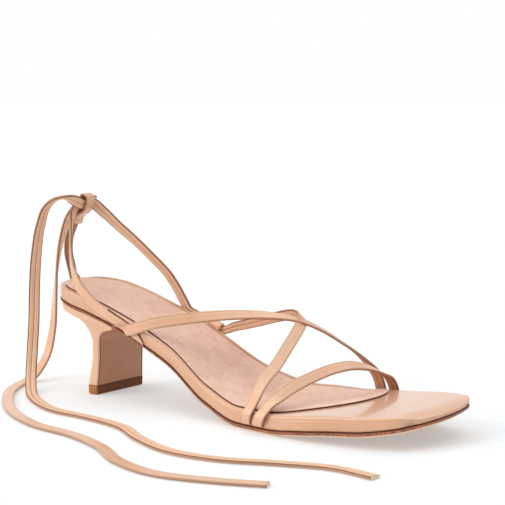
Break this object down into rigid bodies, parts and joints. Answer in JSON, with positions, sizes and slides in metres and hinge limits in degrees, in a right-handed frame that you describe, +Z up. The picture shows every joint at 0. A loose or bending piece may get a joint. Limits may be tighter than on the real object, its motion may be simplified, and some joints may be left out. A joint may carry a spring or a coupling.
{
  "type": "lace-up heeled sandal",
  "caption": "Right-foot leather sandal with thin crossed straps over a bare square toe, a low blade heel and long ankle ties lying loose beside the outer side.",
  "frame": {"origin": "centre of the shoe's box at floor level, measured without the loose tie ends", "axes": "+X towards the toe, +Y towards the inner side of the foot, +Z up"},
  "size_m": [0.2654, 0.1694, 0.1045],
  "materials": {
    "nude_leather": "smooth, softly glossy nude calf",
    "sock_leather": "matt pinkish lining leather",
    "sole_leather": "dark brown waxed edge, tan bevel below",
    "lift_rubber": "dull brown rubber"
  },
  "bodies": {
    "root": {"footbed": "nude_leather", "outsole": "sole_leather", "sock_lining": "sock_leather", "heel": "nude_leather", "top_lift": "lift_rubber", "upper_straps": "nude_leather", "toe_strap": "nude_leather", "waist_tab": "nude_leather", "back_strap": "nude_leather", "lateral_tie": "nude_leather", "medial_tie": "nude_leather", "lateral_tail": "nude_leather", "medial_tail": "nude_leather"}
  },
  "joints": []
}
